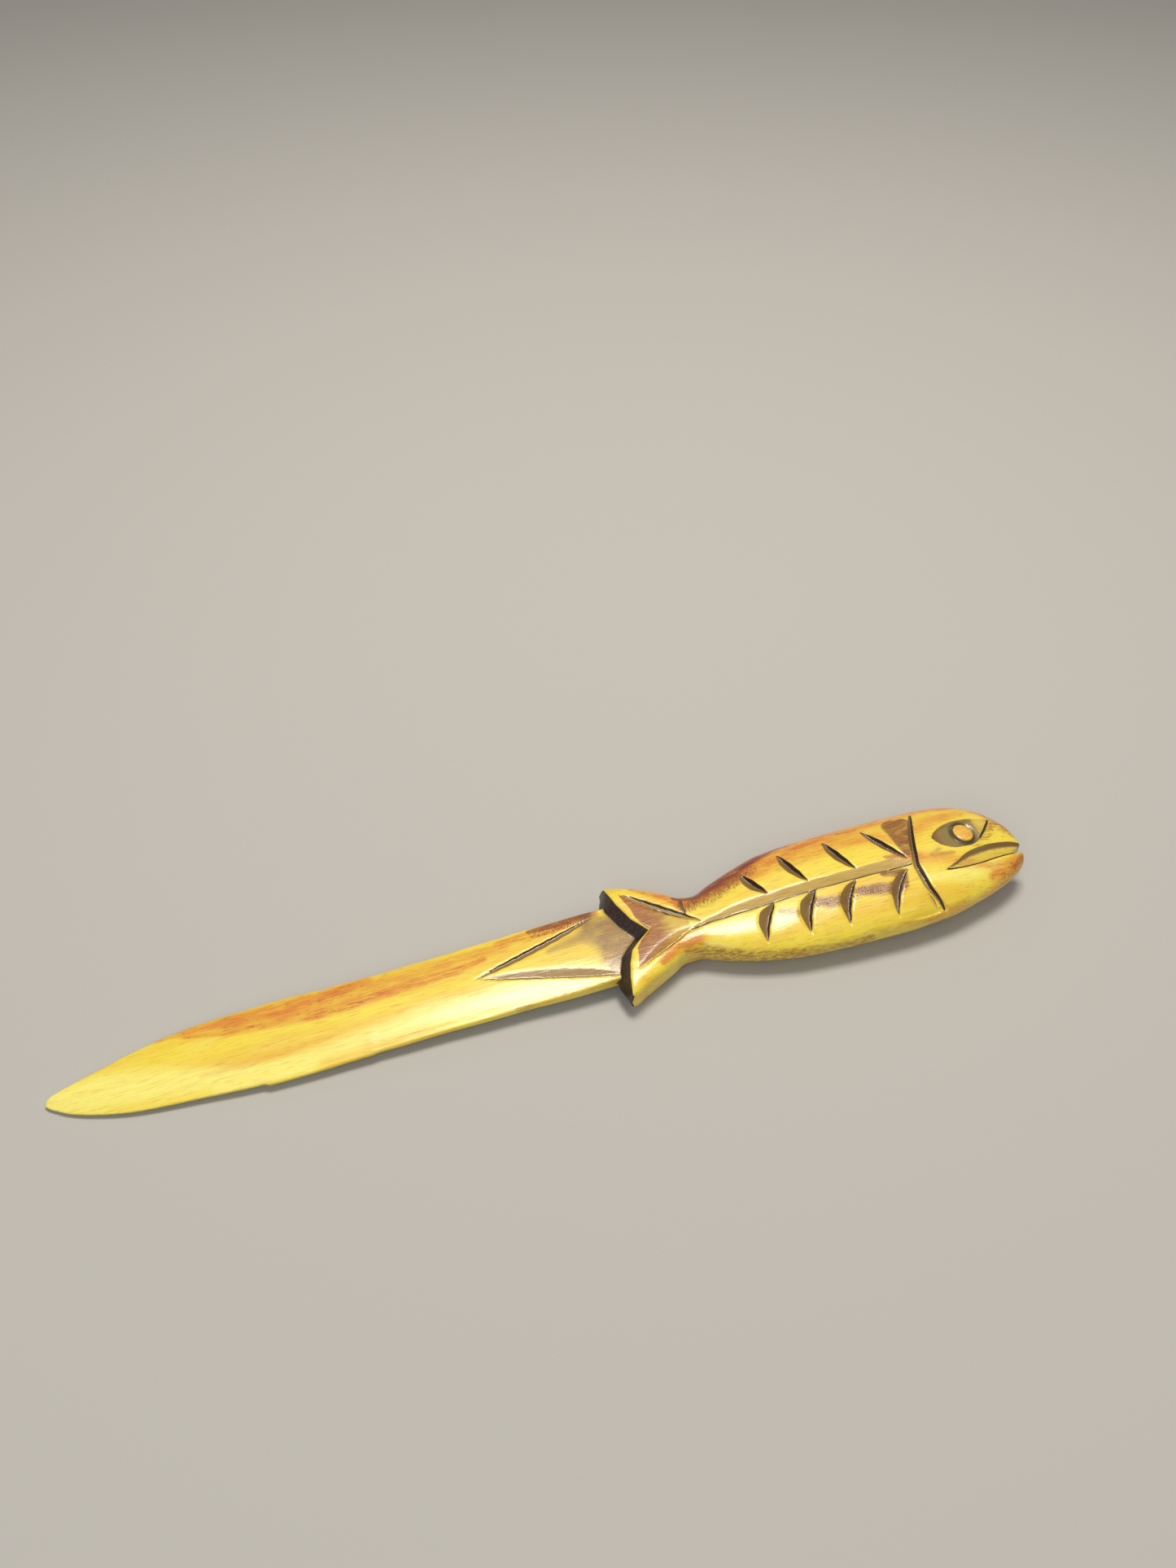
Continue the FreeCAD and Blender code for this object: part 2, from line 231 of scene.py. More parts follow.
def keel_rounded(aside):
    """Distance from a keel, with the keel's bottom rounded as the knife's edge leaves it."""
    return np.sqrt(aside ** 2 + KEEL_RADIUS ** 2) - KEEL_RADIUS


def knife_cut(x, y, start, end, facet, depth, brown, bow=0.0, steep=STEEP, fullest=0.45, belly=2.0):
    """A cut with its stop-cut wall on the left of start-to-end and its long facet on the right:
    its depth, the distance from its keel towards the facet, and how brown its facet is."""
    run = math.hypot(end[0] - start[0], end[1] - start[1])
    ux, uy = (end[0] - start[0]) / run, (end[1] - start[1]) / run
    t = ((x - start[0]) * ux + (y - start[1]) * uy) / run
    inside = np.clip(t, 0, 1)
    aside = (x - start[0]) * uy - (y - start[1]) * ux - bow * 4 * inside * (1 - inside)
    aside = aside + 0.05 * np.sin(t * run * 1.9 + start[0])
    share = np.where(inside < fullest, inside / fullest, (1 - inside) / (1 - fullest))
    swell = 1 - (1 - share) ** belly
    beyond = (np.clip(-t, 0, None) + np.clip(t - 1, 0, None)) * run
    fall = np.where(aside > 0, depth / facet, steep) * keel_rounded(aside)
    return depth * swell - fall - beyond, aside, brown


def spine_cut(x, y):
    keel, width, depth = (through(SPINE[:, 0], SPINE[:, column], x) for column in (1, 2, 3))
    aside = y - keel + 0.05 * np.sin(0.9 * x)
    beyond = np.clip(145 - x, 0, None) + np.clip(x - 206, 0, None)
    slope = np.maximum(depth, 0.1) / width
    fall = np.where(aside > 0, slope, STEEP) * keel_rounded(aside)
    # the keel distance is taken from a line just up the facet, which sets how wide the painted shade
    # along the keel shows
    return depth - fall - beyond, aside - 0.28, 0.12


def gill_cut(x, y):
    keel, width = (through(GILL[:, 0], GILL[:, column], y) for column in (1, 2))
    aside = (keel - x) * 0.93
    share = np.clip((y - GILL[0, 0]) / (GILL[-1, 0] - GILL[0, 0]), 0, 1)
    depth = 1.05 * (4 * share * (1 - share)) ** 0.3
    beyond = np.clip(GILL[0, 0] - y, 0, None) + np.clip(y - GILL[-1, 0], 0, None)
    fall = np.where(aside > 0, 1.05 / width, STEEP) * keel_rounded(aside)
    return depth - fall - beyond, aside - 0.02, 0.35 + 0.5 * ramp(-4.0, 2.0, y)


def mouth_cut(x, y):
    keel, top, depth = (through(MOUTH[:, 0], MOUTH[:, column], x) for column in (1, 2, 3))
    share = np.clip((y - keel) / (top - keel), 0, 3)
    floor = 1 - 0.40 * share / 0.68
    scoop = depth * np.where(share < 0.68, floor, 0.60 * (1 - share) / 0.32)
    beyond = np.clip(MOUTH[0, 0] - x, 0, None)
    wall = depth - STEEP * (keel - y)
    # the keel distance is taken from a line up the scoop, which sets how wide the painted shade along
    # the mouth's keel shows
    return (np.where(y > keel, scoop, wall) - beyond, y - keel - 0.38,
            0.95 * ramp(0.62, 0.74, share))


def eye_cut(x, y):
    lower, upper, floor = (through(EYE[:, 0], EYE[:, column], x) for column in (1, 2, 3))
    ring = past_pupil(x, y)
    groove = np.exp(-((ring - 0.65) / 0.50) ** 2)
    walls = np.minimum(2.0 * (y - lower), 0.8 * (upper - y))
    beyond = np.clip(EYE[0, 0] - x, 0, None) + np.clip(x - EYE[-1, 0], 0, None)
    hollow = np.minimum(walls, floor + 0.45 * groove) - beyond
    boss = 0.10 + 0.22 * np.clip(1 + ring / PUPIL_RADIUS, 0, 1) ** 2 + 2.4 * np.clip(ring, 0, None)
    right = ramp(223.5, 226.0, x)
    # stain with painted shade: near black along the socket's lower rim, in the ring round the pupil and
    # in the socket's narrow left corner
    line = (y - lower) * 0.8 - 0.15 - 0.55 * right
    dark_ring = ramp(0.0, 0.25, ring) * (1 - ramp(0.75, 1.3, ring))
    corner = 1 - ramp(212.5, 218.0, x)
    brown = 0.55 + 0.8 * dark_ring + 0.45 * corner - 0.5 * right * (1 - dark_ring)
    return np.minimum(hollow, boss), np.where(ring < 0, 1.0, line), brown


def fish_cuts(x, y):
    cuts = [spine_cut(x, y), gill_cut(x, y), mouth_cut(x, y), eye_cut(x, y)]
    for start, end, facet, depth, bow in RIBS:
        cuts.append(knife_cut(x, y, start, end, facet, depth, RIB_BROWN, bow))
    for *cut, unlike in TAIL_AND_SCRAPES:
        cuts.append(knife_cut(x, y, *cut, **unlike))
    return cuts


def blade_cuts(x, y):
    return [knife_cut(x, y, *cut, **unlike) for *cut, unlike in BLADE_VEE]


def fish_depth(x, y):
    """How deep the fish's face is cut at a place, over all its cuts."""
    return np.maximum.reduce([cut[0] for cut in fish_cuts(x, y)])


def blade_depth(x, y):
    """How deep the blade's face is cut at a place."""
    return np.maximum.reduce([cut[0] for cut in blade_cuts(x, y)])


def deepest(cuts):
    """The depth, distance from the keel and brownness of whichever cut is deepest at a place; in the eye
    the brownness also carries painted shade.
    """
    columns = [np.stack([np.broadcast_to(cut[part], cuts[0][0].shape) for cut in cuts])
               for part in range(3)]
    pick = columns[0].argmax(axis=0)[None]
    return [np.take_along_axis(column, pick, axis=0)[0] for column in columns]


def lean_of(surface, x, y):
    """How much longer a slanting face is than its plan, which turns heights into distances."""
    e = 0.05
    slope_x = (surface(x + e, y) - surface(x - e, y)) / (2 * e)
    slope_y = (surface(x, y + e) - surface(x, y - e)) / (2 * e)
    return np.sqrt(1 + slope_x ** 2 + slope_y ** 2)


def cut_place(x, y, below):
    """Where a place on a face lies from the marks' own line. The underside is carved by the same
    hand but not traced, so its cuts sit a little off."""
    off_x, off_y = np.where(below, 0.5 * np.sin(y / 6.0), 0.0), np.where(below, 0.25, 0.0)
    return x - MARK_SHIFT + off_x, y - MARK_LINE + off_y


def faces_at(x, y, below):
    """The carved faces at a place in plan, each as its height and its lean."""
    def fish_face(a, b):
        return fish_height(a, b) - fish_depth(a, b)

    def blade_cut_face(a, b):
        return blade_height(a, b) - blade_depth(a, b)

    at = cut_place(x, y, below)
    return [(surface(*at), lean_of(surface, *at))
            for surface in (fish_face, blade_cut_face, blade_height)]


NOTCH_END = 232.3           # the notch between the lips is cut in from the snout as far as this


def outside_wood(x, y, z, faces):
    """Signed distance to the carving's surface in millimetres, negative inside the wood."""
    height = np.abs(z)
    fish_cut, blade_cut, blade_face = ((height - level) / lean for level, lean in faces)
    back, belly, half, power = fish_columns(x)
    across = np.abs(2 * y - back - belly) / (back - belly)
    up = height / half
    size = (across ** power + up ** power) ** (1 / power) + 1e-6
    pull_y = (across / size) ** (power - 1) * 2 / (back - belly)
    pull_z = (up / size) ** (power - 1) / half
    fish = (size - 1) / np.sqrt(pull_y ** 2 + pull_z ** 2 + 1e-6)
    fish = fish + 0.06 * hand_waver(x, 2.5 * y, 15.0, 11)
    fish = soft_max(fish, x - SNOUT_END, 0.3)
    fish = soft_max(fish, fish_cut, 0.22)
    e = 0.2
    slope_y = (tail_end_x(y + e, z) - tail_end_x(y - e, z)) / (2 * e)
    slope_z = (tail_end_x(y, height + e) - tail_end_x(y, height)) / e
    end = (tail_end_x(y, z) - x) / np.sqrt(1 + slope_y ** 2 + slope_z ** 2)
    fish = soft_max(fish, end, 0.35)
    notch_top = (y + 4.5 - (x - NOTCH_END) * 0.6) / 1.17
    notch_low = -5.3 - 0.05 * (x - NOTCH_END) - y
    notch = -np.maximum(np.maximum(notch_top, notch_low), NOTCH_END - x)
    fish = soft_max(fish, notch, 0.25)

    upper, lower = blade_outline(x)
    upper_on, lower_on = blade_outline(x + 0.1)
    middle, reach = (upper + lower) / 2, (upper - lower) / 2
    lean = np.sqrt(1 + (((upper_on - lower_on) / 2 - reach) / 0.1) ** 2)
    blade = soft_max(blade_face, blade_cut, 0.12)
    blade = soft_max(blade, (np.abs(y - middle) - reach) / lean, 0.45)
    blade = soft_max(blade, x - BLADE_END, 0.2)
    blade = soft_max(blade, -x, 0.3)
    return -soft_max(-fish, -blade, 0.18)


# ---------------------------------------------------------------------------------------------
# The carving itself, cut out of the field above as one closed skin, and laid down as it rests on
# the table: on the underside of the blade's tip and on a small flat pared into the belly.
# ---------------------------------------------------------------------------------------------

PARED_FLAT = 0.3            # how deep the belly is pared flat where it lies
FLAT_EDGE = 0.2             # how much the flat's edge is rounded off
CELL = 0.38
FIELD_BAND = 3.0            # the field is kept this far on either side of the skin
SETTLE_REACH = 0.12         # the most that a point moves to lie on the surface


def resting_line():
    """The tilt of the table's plane, in radians, and its height under the carving's tip."""
    slopes = []
    for x, _, _, crown, _ in BLADE[1:-1]:
        slopes.append(max((fish[3] - PARED_FLAT - crown) / (fish[0] - x) for fish in FISH[:-1]))
    tilt = math.atan(min(slopes))
    lowest = min(x * math.sin(tilt) - crown * math.cos(tilt) for x, _, _, crown, _ in BLADE[:-1])
    return tilt, lowest


TILT, TABLE = resting_line()


def above_table(x, z):
    """Height over the table of a place in the carving, in millimetres."""
    return x * math.sin(TILT) + z * math.cos(TILT) - TABLE


def spaced(low, high, coarse_from, coarse_to):
    """Places along x: close together at the tip and on the fish, wider apart on the plain blade."""
    places = [low]
    while places[-1] < high:
        plain = coarse_from < places[-1] < coarse_to
        places.append(places[-1] + CELL * (2.2 if plain else 1.0))
    return np.array(places)


def carved_skin():
    """Corner points in carving millimetres and four-sided faces of the whole carving."""
    xs = spaced(-1.0, SNOUT_END + 1.2, 7.0, 91.0)
    ys = np.arange(-17.8, 18.2, CELL * 0.97)
    zs = np.arange(-6.9, 6.9, CELL * 0.9)
    x, y = np.meshgrid(xs, ys, indexing="ij")
    top_faces = faces_at(x, y, False)
    under_faces = faces_at(x, y, True)
    block = np.empty((len(xs), len(ys), len(zs)), np.float32)
    for level, z in enumerate(zs):
        wood_here = outside_wood(x, y, z, top_faces if z > 0 else under_faces)
        block[:, :, level] = soft_max(wood_here, -above_table(x, z), FLAT_EDGE)
    grid = openvdb.FloatGrid(FIELD_BAND)
    grid.copyFromArray(np.clip(block, -FIELD_BAND, FIELD_BAND))
    points, quads = grid.convertToQuads(0.0)
    spots = [np.interp(points[:, axis], np.arange(len(steps)), steps)
             for axis, steps in enumerate((xs, ys, zs))]
    return spots, quads


def settle(spots):
    """Moves each point square to the surface until it lies on it, at most part of a cell."""
    def distance(x, y, z):
        wood_here = outside_wood(x, y, z, faces_at(x, y, z < 0))
        return soft_max(wood_here, -above_table(x, z), FLAT_EDGE)

    e = 0.03
    here = distance(*spots)
    pull = []
    for axis in range(3):
        ahead = [s + (e if i == axis else 0.0) for i, s in enumerate(spots)]
        pull.append((distance(*ahead) - here) / e)
    steep = sum(p * p for p in pull) + 1e-6
    return [s - np.clip(here * p / steep, -SETTLE_REACH, SETTLE_REACH) for s, p in zip(spots, pull)]


def signed_volume(points, quads):
    """Positive where the faces look outwards."""
    a, b, c, d = (points[quads[:, corner]] for corner in range(4))
    return float((np.cross(b - a, c - a) * a).sum() + (np.cross(c - a, d - a) * a).sum())


spots, quads = carved_skin()
spots = settle(spots)
carve_x, carve_y, carve_z = spots
laid = np.stack([carve_x * math.cos(TILT) - carve_z * math.sin(TILT), carve_y,
                 above_table(carve_x, carve_z)], axis=1)
middle = (laid.min(axis=0) + laid.max(axis=0)) / 2
cad_middle = (np.array(cad_low) + np.array(cad_high)) / 2
laid[:, :2] += cad_middle[:2] * 1000 - middle[:2]
laid[:, 2] -= laid[:, 2].min()
if signed_volume(laid, quads) < 0:
    quads = quads[:, ::-1]

skin = bpy.data.meshes.new("carved_letter_opener")
skin.vertices.add(len(laid))
skin.vertices.foreach_set("co", (laid / 1000).astype(np.float32).ravel())
skin.loops.add(quads.size)
skin.loops.foreach_set("vertex_index", quads.astype(np.int32).ravel())
skin.polygons.add(len(quads))
skin.polygons.foreach_set("loop_start", np.arange(0, quads.size, 4, dtype=np.int32))
skin.polygons.foreach_set("use_smooth", np.ones(len(quads), bool))
skin.update(calc_edges=True)
skin.validate()

letter_opener = bpy.data.objects.new("carved_letter_opener", skin)
bpy.context.scene.collection.objects.link(letter_opener)


# ---------------------------------------------------------------------------------------------
# The finish: brown and red-brown spirit stain, brushed on along the back, the tail and the blade's
# upper edge and wiped off the high places, under several coats of gloss varnish, and painted shade
# along the keels and on the tail's end wall. Where the stain and the shade lie is kept on the skin's
# points, and the grain inside the stain is made by the material.
# ---------------------------------------------------------------------------------------------

def brushed(x, y, path, soft=0.6):
    """How much stain a brush left at a place. path is (x, y, half width) along the stroke."""
    best = np.zeros_like(x)
    for (ax, ay, aw), (bx, by, bw) in zip(path, path[1:]):
        run = (bx - ax) ** 2 + (by - ay) ** 2
        t = np.clip(((x - ax) * (bx - ax) + (y - ay) * (by - ay)) / run, 0, 1)
        away = np.hypot(x - ax - t * (bx - ax), y - ay - t * (by - ay))
        reach = aw + t * (bw - aw)
        best = np.maximum(best, 1 - ramp(1 - soft, 1.0, away / np.maximum(reach, 0.05)))
    return best


def layered(x, y, strokes):
    """Several strokes over each other: (strength, path, softness)."""
    bare = np.ones_like(x)
    for strength, path, soft in strokes:
        bare = bare * (1 - strength * brushed(x, y, path, soft))
    return 1 - bare


AMBER = [
    (0.80, [(24, 8.2, 1.0), (33, 8.2, 2.2), (42, 8.0, 3.2), (52, 7.2, 3.8), (60, 7.4, 3.0),
            (72, 8.8, 1.6)], 0.8),
    (0.70, [(30, 6.8, 0.8), (40, 4.6, 1.4), (50, 3.4, 2.0), (60, 3.0, 2.4)], 0.9),
    (0.88, [(57, 2.8, 1.6), (66, 3.0, 2.4), (80, 3.7, 2.2), (92, 4.2, 1.8), (99, 5.6, 1.2)], 0.85),
    (0.62, [(40, 5.5, 3.0), (56, 6.5, 4.4), (80, 6.5, 4.4), (104, 7.8, 3.4)], 0.9),
    (0.36, [(33, -4.4, 1.0), (42, -4.4, 2.4), (54, -4.0, 1.6), (64, -3.4, 0.8)], 1.0),
    (0.60, [(166, 6.0, 3.0), (180, 8.0, 5.0), (196, 8.0, 5.2), (204, 5.0, 3.4)], 0.95),
    (0.55, [(203, -17.5, 1.6), (216, -16.0, 2.0), (226, -13.0, 2.4)], 0.9),
    (0.85, [(103, 8.8, 1.4), (112, 8.8, 2.2), (122, 9.6, 2.6), (127, 10.0, 2.2)], 0.7),
    (0.97, [(147, 8.0, 3.8), (160, 10.6, 5.0), (174, 12.8, 5.0), (190, 13.8, 4.6), (206, 14.2, 3.8),
            (216, 14.0, 2.8), (224, 12.4, 2.0)], 0.7),
    (0.90, [(149, 5.0, 4.6), (156, 6.9, 4.6), (166, 9.0, 4.2), (176, 10.5, 3.0)], 0.8),
    (0.85, [(138, 13.0, 1.6), (142, 10.0, 2.4), (146.5, 6.5, 3.0), (147.5, 3.0, 2.0)], 0.7),
    (0.85, [(138, -9.6, 1.6), (143, -6.4, 3.0), (147.5, -6.0, 3.4)], 0.85),
    (0.75, [(225, 12.3, 1.8), (230, 8.0, 2.6), (234, 2.5, 3.0)], 0.8),
    (0.60, [(200, -0.2, 1.8), (206, -1.5, 3.4)], 0.9),
    (0.60, [(208, 5.0, 5.0), (214, 8.0, 5.5), (224, 9.0, 4.0)], 1.0),
    (0.60, [(207, -2.0, 3.5), (214, -4.5, 3.5), (224, -9.5, 3.2), (232, -8.0, 2.6)], 1.0),
    (0.70, [(222, -11.6, 1.6), (228, -10.4, 2.4), (233.5, -7.4, 2.4)], 0.9)]

BROWN = [
    (0.80, [(111, 9.9, 0.9), (118, 9.9, 1.6), (125.5, 10.2, 2.0)], 0.6),
    (0.90, [(206.2, 9.4, 3.4), (206.4, 6.2, 3.4), (205.6, 3.4, 2.5), (204.8, 0.2, 1.2)], 0.25),
    (0.90, [(208.8, 9.8, 2.4), (207.4, 6.8, 2.2), (206.0, 2.6, 1.6)], 0.25),
    (0.55, [(199.0, 0.4, 0.7), (204.5, -0.8, 1.2)], 0.6),
    (0.85, [(196.0, -4.2, 0.9), (200.8, -5.2, 1.9), (199.6, -8.2, 2.0)], 0.6),
    (0.80, [(176.5, -5.6, 1.6), (180.5, -7.4, 2.7), (184.5, -7.8, 2.0)], 0.8),
    (0.85, [(188.6, -6.8, 1.8), (193.6, -7.8, 2.9), (198.0, -8.8, 2.6)], 0.8),
    (0.65, [(168.6, -6.0, 1.7), (172.0, -7.6, 2.2)], 0.9),
    (0.55, [(149, 3.6, 3.4), (155, 5.0, 3.6), (163, 7.4, 3.0)], 0.9),
    (0.65, [(229.5, 8.6, 0.9), (232.4, 5.0, 1.2), (234.6, 0.4, 1.2)], 0.7),
    (0.50, [(213.0, -1.2, 1.2), (210.4, -2.5, 1.4), (216.0, -3.2, 1.0)], 0.9),
    (0.55, [(229.5, -9.9, 0.8), (233.8, -7.2, 0.9)], 0.8)]

MOTTLED = [                 # stain left in patches along the lower edges
    (0.80, [(144.5, -7.6, 1.6), (148.0, -8.2, 2.0), (152, -10.2, 1.6), (158, -12.9, 1.5),
            (166, -15.2, 1.5), (176, -16.8, 1.3), (188, -17.4, 1.0)], 0.9),
    (0.45, [(186, -16.6, 1.0), (202, -16.8, 1.0), (214, -15.0, 0.9)], 0.9),
    (0.70, [(103, -9.3, 0.7), (112, -9.1, 1.0), (127, -8.9, 1.0)], 0.7),
    (0.95, [(222.0, -2.6, 1.2), (226.5, -0.6, 2.0), (230.0, 3.4, 3.0), (232.5, 2.0, 3.0),
            (235.0, -1.6, 1.8)], 0.9),
    (0.60, [(224.0, -12.6, 1.4), (229.0, -10.4, 2.2), (234.5, -7.6, 1.8)], 0.9)]

RED = [
    (1.00, [(146.8, 6.6, 1.4), (151.0, 6.6, 2.8), (157.0, 8.9, 4.1), (166.0, 12.2, 4.2),
            (174.0, 14.8, 3.2), (185.0, 16.6, 1.4)], 0.65),
    (0.75, [(172.0, 15.2, 2.0), (182.0, 16.0, 1.5), (196.0, 16.3, 1.2), (206.0, 16.3, 0.8)], 0.9),
    (0.60, [(142.0, 12.8, 0.9), (147.0, 8.8, 1.4)], 0.8),
    (0.50, [(118.0, 11.7, 0.7), (126.5, 11.2, 1.2)], 0.8),
    (0.45, [(227.0, 13.4, 0.9), (232.0, 8.2, 0.9)], 0.8)]

HATCHED = [                 # fine scratches across the grain, filled with stain
    (1.0, [(148.5, 3.6, 3.4), (153.0, 4.4, 4.2), (160.0, 6.4, 3.6), (167.0, 8.6, 2.4)], 0.6),
    (0.9, [(112, 8.8, 1.8), (119, 9.0, 2.4), (125, 9.4, 2.0)], 0.7),
    (0.8, [(176, -6.2, 2.0), (182, -7.8, 2.6), (190, -7.0, 2.2), (197, -8.4, 2.6)], 0.7)]

PALE = [                    # where the stain was wiped right off: the tip and the lower half
    (1.0, [(0, 0.0, 6.0), (12, -1.2, 8.0), (24, -3.2, 6.5), (40, -6.5, 4.0), (56, -8.5, 3.0)], 0.95),
    (0.7, [(36, -8.5, 2.0), (60, -7.0, 4.0), (84, -4.5, 5.5), (102, -6.5, 4.0), (120, -8.5, 2.0)], 0.95),
    (0.6, [(152, -6.0, 3.0), (162, -7.0, 4.0), (170, -8.0, 3.0)], 0.9),
    (0.7, [(206, -8.0, 2.0), (214, -9.5, 4.5), (226, -9.0, 3.0)], 1.0)]

DULLED = [                  # scraped, greyer wood at the foot of the tail
    (1.0, [(125.5, 8.4, 4.0), (128.0, 4.0, 7.4), (130.5, 0.6, 9.0), (128.5, -3.4, 5.6),
           (127.6, -6.6, 2.8)], 0.9),
    (0.5, [(114.0, 2.6, 1.6), (124.0, 4.4, 4.4)], 1.0)]


KEPT_REACH = 4.0


def kept(name, values):
    """Keeps one number for each point of the skin, for the material to read. Beyond a few
    millimetres a distance says no more, so it is held there."""
    layer = skin.attributes.new(name, "FLOAT", "POINT")
    layer.data.foreach_set("value", np.clip(values, -KEPT_REACH, KEPT_REACH).astype(np.float32))


END_EDGE = 0.25             # the rounded edge of the tail's end wall counts as the fish's
TAIL_REACH = 142.0          # the dark stain and painted shade of the end wall are only on the tail, short of here

plan_x, plan_y = cut_place(carve_x, carve_y, carve_z < 0)
end_x = tail_end_x(carve_y, carve_z)
on_fish = carve_x > end_x - END_EDGE
fish_marks = deepest(fish_cuts(plan_x, plan_y))
blade_marks = deepest(blade_cuts(plan_x, plan_y))
tail_height = np.where(on_fish, fish_height(carve_x, carve_y) - np.abs(carve_z), 3.0)
below_face = np.where(carve_x > TAIL_REACH, -1.0, tail_height)

# The brown on the tail is held between its two grooves and stops short of the waist, and of the
# forked end, where a strip was scraped back to bright wood.
strip = 0.1 + 1.5 * ramp(0.5, 8.0, np.abs(carve_y - 0.6)) + 0.02 * np.clip(-carve_y, 0, None)
past_strip = carve_x - tail_end_x(carve_y, TAIL_FACE_HEIGHT) - strip
from_line = carve_y - MARK_LINE


def right_of(start, end):
    """Distance in plan to the right of a line on the faces."""
    run_x, run_y = end[0] - start[0], end[1] - start[1]
    left = run_x * (from_line - start[1]) - run_y * (carve_x - start[0])
    return -left / math.hypot(run_x, run_y)


tail_brown = np.minimum.reduce([past_strip, right_of(*UPPER_GROOVE), right_of(*LOWER_GROOVE),
                                147.5 - carve_x])

kept("amber", layered(carve_x, from_line, AMBER))
kept("brown", layered(carve_x, from_line, BROWN))
kept("mottled", layered(carve_x, from_line, MOTTLED))
kept("red", layered(carve_x, from_line, RED))
kept("hatched", layered(carve_x, from_line, HATCHED))
kept("pale", layered(carve_x, from_line, PALE))
kept("dulled", np.where(on_fish, 0.0, layered(carve_x, from_line, DULLED)))
kept("tail_brown", np.where(on_fish, tail_brown, -1.0))
kept("tail_fade", ramp(138.5, 145.0, carve_x))
kept("cut_depth", np.where(on_fish, fish_marks[0], blade_marks[0]))
kept("from_keel", np.where(on_fish, fish_marks[1], blade_marks[1]))
kept("facet_stain_and_shade", np.where(on_fish, fish_marks[2], blade_marks[2]))
kept("from_end", carve_x - end_x)
kept("below_face", below_face)
kept("pupil", -past_pupil(plan_x, plan_y))


def linear(sheet_colour):
    """An sRGB hex colour as the linear red, green, blue and alpha that the shaders work in."""
    parts = [int(sheet_colour[i:i + 2], 16) / 255 for i in (1, 3, 5)]
    return (*[p / 12.92 if p <= 0.04045 else ((p + 0.055) / 1.055) ** 2.4 for p in parts], 1.0)


def lay(tree, kind, inputs, out=0, **settings):
    """Adds a shader node with its settings and its inputs' values or links, and gives one output."""
    made = tree.nodes.new("ShaderNode" + kind)
    for name, value in settings.items():
        setattr(made, name, value)
    for name, value in inputs.items():
        if isinstance(value, bpy.types.NodeSocket):
            tree.links.new(value, made.inputs[name])
        else:
            made.inputs[name].default_value = value
    return made.outputs[out] if made.outputs else made


# Stained hardwood, whittled, wiped and varnished: straight fine grain with short dark pores, a
# brown stain that catches in the grain and in every cut, painted shade along the keels and on the
# tail's end wall, and a clear glossy coat with a slight waviness that breaks the reflections.
carved_wood = bpy.data.materials.new("varnished_carved_wood")
carved_wood.use_nodes = True
wood = carved_wood.node_tree
wood.nodes.clear()

place = lay(wood, "TexCoord", {}, out="Object")
millimetres = lay(wood, "VectorMath", {0: place, "Scale": 1000.0}, operation="SCALE")

# each noise: its streaks' length along the grain and width across in millimetres, octaves,
# roughness, and the angle that the streaks lean from the carving's length, in radians
NOISES = {
    "broad": (38.0, 4.5, 2.0, 0.50, 0.02), "streak": (14.0, 0.9, 3.0, 0.60, 0.03),
    "fine": (5.0, 0.32, 3.0, 0.65, 0.02), "blotch": (5.0, 2.8, 4.0, 0.60, 0.0),
    "pore": (2.4, 0.22, 1.0, 0.40, 0.03), "speck": (0.5, 0.4, 2.0, 0.60, 0.0),
    "scratch": (0.22, 1.3, 3.0, 0.65, 0.3), "counter_scratch": (0.25, 1.1, 3.0, 0.65, -0.5),
    "patch": (2.2, 0.6, 4.0, 0.70, 0.1), "coat": (9.0, 2.2, 2.0, 0.50, 0.0)}
noise = {}
for order, (name, (length, width, octaves, rough, lean)) in enumerate(NOISES.items()):
    drawn = lay(wood, "Mapping", {"Vector": millimetres, "Location": (7.3 * order, 3.1 * order, 1.9),
                                  "Rotation": (0.0, 0.0, lean),
                                  "Scale": (1 / length, 1 / width, 1 / width)})
    noise[name] = lay(wood, "TexNoise", {"Vector": drawn, "Scale": 1.0, "Detail": octaves,
                                         "Roughness": rough})
mark = {name: lay(wood, "Attribute", {}, out="Fac", attribute_name=name)
        for name in ("amber", "brown", "mottled", "red", "hatched", "pale", "dulled", "tail_brown",
                     "tail_fade", "cut_depth", "from_keel", "facet_stain_and_shade", "from_end", "below_face",
                     "pupil")}

